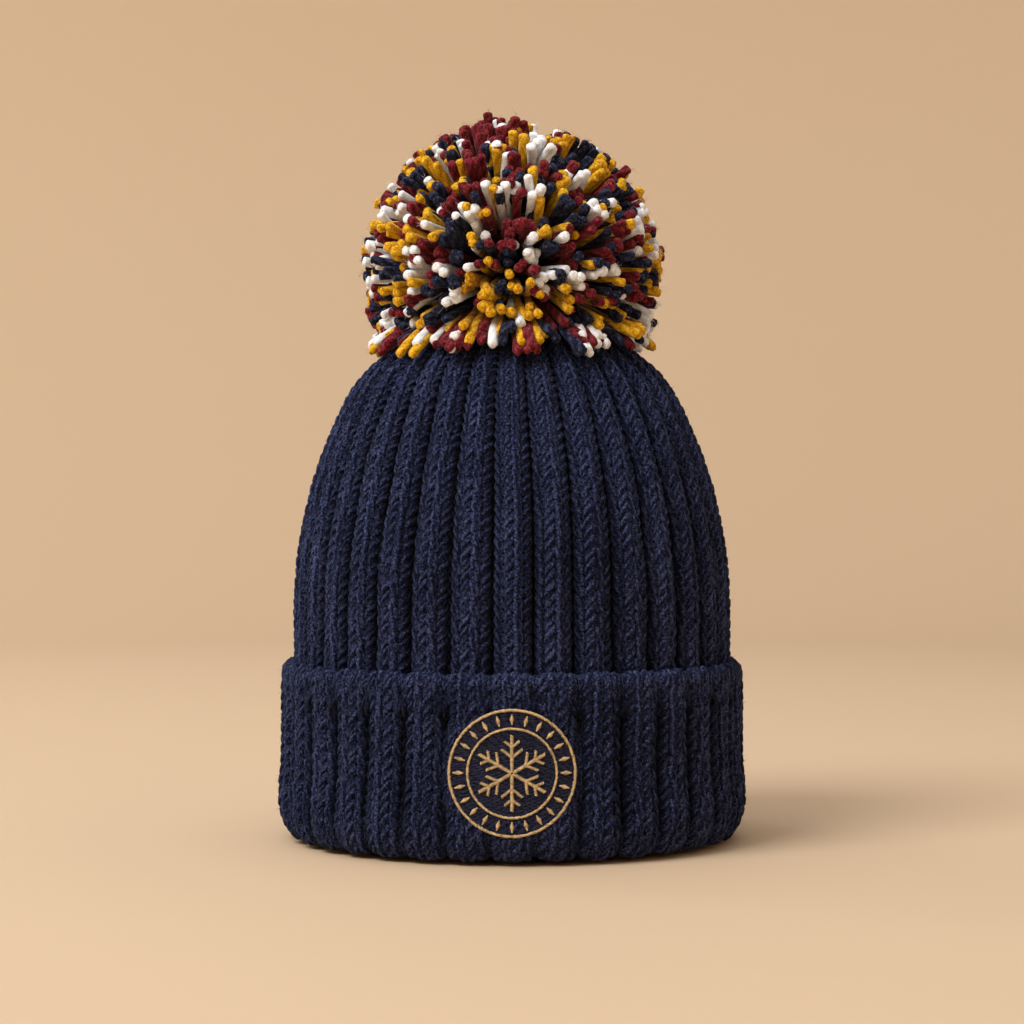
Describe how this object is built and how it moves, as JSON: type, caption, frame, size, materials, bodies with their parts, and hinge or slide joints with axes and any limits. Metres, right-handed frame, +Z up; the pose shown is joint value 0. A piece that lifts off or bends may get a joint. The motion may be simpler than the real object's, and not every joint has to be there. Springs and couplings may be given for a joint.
{
  "type": "pom pom beanie",
  "caption": "Ribbed knit winter hat with a lining, a deep turned-up cuff, a round stitched crest and a large multicoloured yarn pom on a flexible tie.",
  "frame": {"origin": "centre of the brim's underside, where the hat stands", "axes": "+Z up through the crown to the pom, -Y towards the crest at the front"},
  "size_m": [0.1864, 0.1881, 0.2897],
  "materials": {
    "knit_navy": "matte",
    "knit_lining": "matte",
    "tie_cord": "matte",
    "crest_fill_thread": "matte",
    "gold_thread": "matte",
    "backing_felt": "matte",
    "label_satin": "satin",
    "label_thread": "matte",
    "button_plastic": "satin",
    "yarn_navy": "matte",
    "yarn_burgundy": "matte",
    "yarn_gold": "matte",
    "yarn_white": "matte"
  },
  "bodies": {
    "hat": {"crown_outer": "knit_navy", "crown_lining": "knit_lining", "cuff_outer": "knit_navy", "cuff_inner": "knit_navy", "brim_fold": "knit_navy", "lining_seam": "knit_navy", "crown_gather_yarn": "tie_cord", "lining_gather_yarn": "tie_cord", "crest_ground": "crest_fill_thread", "crest_ring": "gold_thread", "crest_motif": "gold_thread", "crest_backing": "backing_felt", "label_stitches": "label_thread", "backing_button": "button_plastic", "tie_tails": "tie_cord", "tie_knot": "tie_cord"},
    "neck": {"tie_neck": "tie_cord"},
    "collar": {"tie_collar": "tie_cord"},
    "pom": {"pom_binding": "tie_cord", "pom_core": "yarn_navy", "pom_strands_navy": "yarn_navy", "pom_strands_burgundy": "yarn_burgundy", "pom_strands_gold": "yarn_gold", "pom_strands_white": "yarn_white"},
    "label": {"care_label": "label_satin"}
  },
  "joints": [
    {"name": "pom_nod", "type": "hinge", "parent": "hat", "child": "neck", "pos_m": [0, 0, 0.212], "axis": [1, 0, 0], "range_deg": [-6, 6], "stiffness_Nm_per_rad": 0.15},
    {"name": "pom_sway", "type": "hinge", "parent": "neck", "child": "collar", "pos_m": [0, 0, 0.212], "axis": [0, 1, 0], "range_deg": [-6, 6], "stiffness_Nm_per_rad": 0.15},
    {"name": "pom_twist", "type": "hinge", "parent": "collar", "child": "pom", "pos_m": [0, 0, 0.212], "axis": [0, 0, 1], "range_deg": [-25, 25], "stiffness_Nm_per_rad": 0.05},
    {"name": "label_flap", "type": "hinge", "parent": "hat", "child": "label", "pos_m": [0, 0.0757, 0.128], "axis": [-1, 0, 0], "range_deg": [0, 110]}
  ]
}
